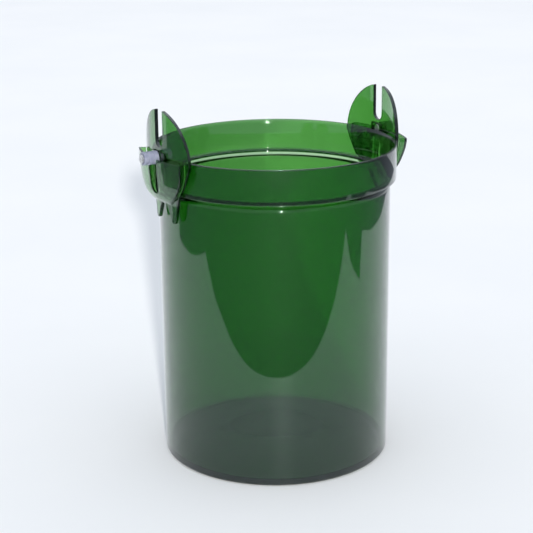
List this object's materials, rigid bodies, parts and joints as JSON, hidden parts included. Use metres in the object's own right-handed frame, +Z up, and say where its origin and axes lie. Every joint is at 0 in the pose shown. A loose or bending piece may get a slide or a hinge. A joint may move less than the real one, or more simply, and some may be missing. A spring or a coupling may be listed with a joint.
{
  "type": "canister filter vessel",
  "caption": "Open round clear green vessel of a canister filter, with a stepped collar and, on opposite sides, slotted ear plates with ratcheting latch slides.",
  "frame": {"origin": "middle of the flat underside, on the vessel's axis", "axes": "+Z up along the vessel's axis; the latches are on +X and -X; -Y is the front"},
  "size_m": [0.2464, 0.205, 0.3074],
  "materials": {
    "clear_green": "clear moulded plastic, polished",
    "grey_plastic": "satin moulded plastic",
    "steel": "turned stainless steel"
  },
  "bodies": {
    "vessel": {"canister": "clear_green", "ear_plate_left": "clear_green", "latch_guard_left": "clear_green", "ear_plate_right": "clear_green", "latch_guard_right": "clear_green"},
    "slide_left": {"latch_slide_left": "clear_green", "latch_pin_left": "steel"},
    "roller_left": {"latch_roller_left": "grey_plastic"},
    "slide_right": {"latch_slide_right": "clear_green", "latch_pin_right": "steel"},
    "roller_right": {"latch_roller_right": "grey_plastic"}
  },
  "joints": [
    {"name": "latch_left_slide", "type": "slide", "parent": "vessel", "child": "slide_left", "axis": [0, 0, 1], "range_m": [-0.0234, 0]},
    {"name": "roller_left_spin", "type": "hinge", "parent": "slide_left", "child": "roller_left", "pos_m": [-0.115, 0, 0.2696], "axis": [-1, 0, 0], "continuous": true},
    {"name": "latch_right_slide", "type": "slide", "parent": "vessel", "child": "slide_right", "axis": [0, 0, 1], "range_m": [-0.0234, 0]},
    {"name": "roller_right_spin", "type": "hinge", "parent": "slide_right", "child": "roller_right", "pos_m": [0.115, 0, 0.2696], "axis": [1, 0, 0], "continuous": true}
  ]
}
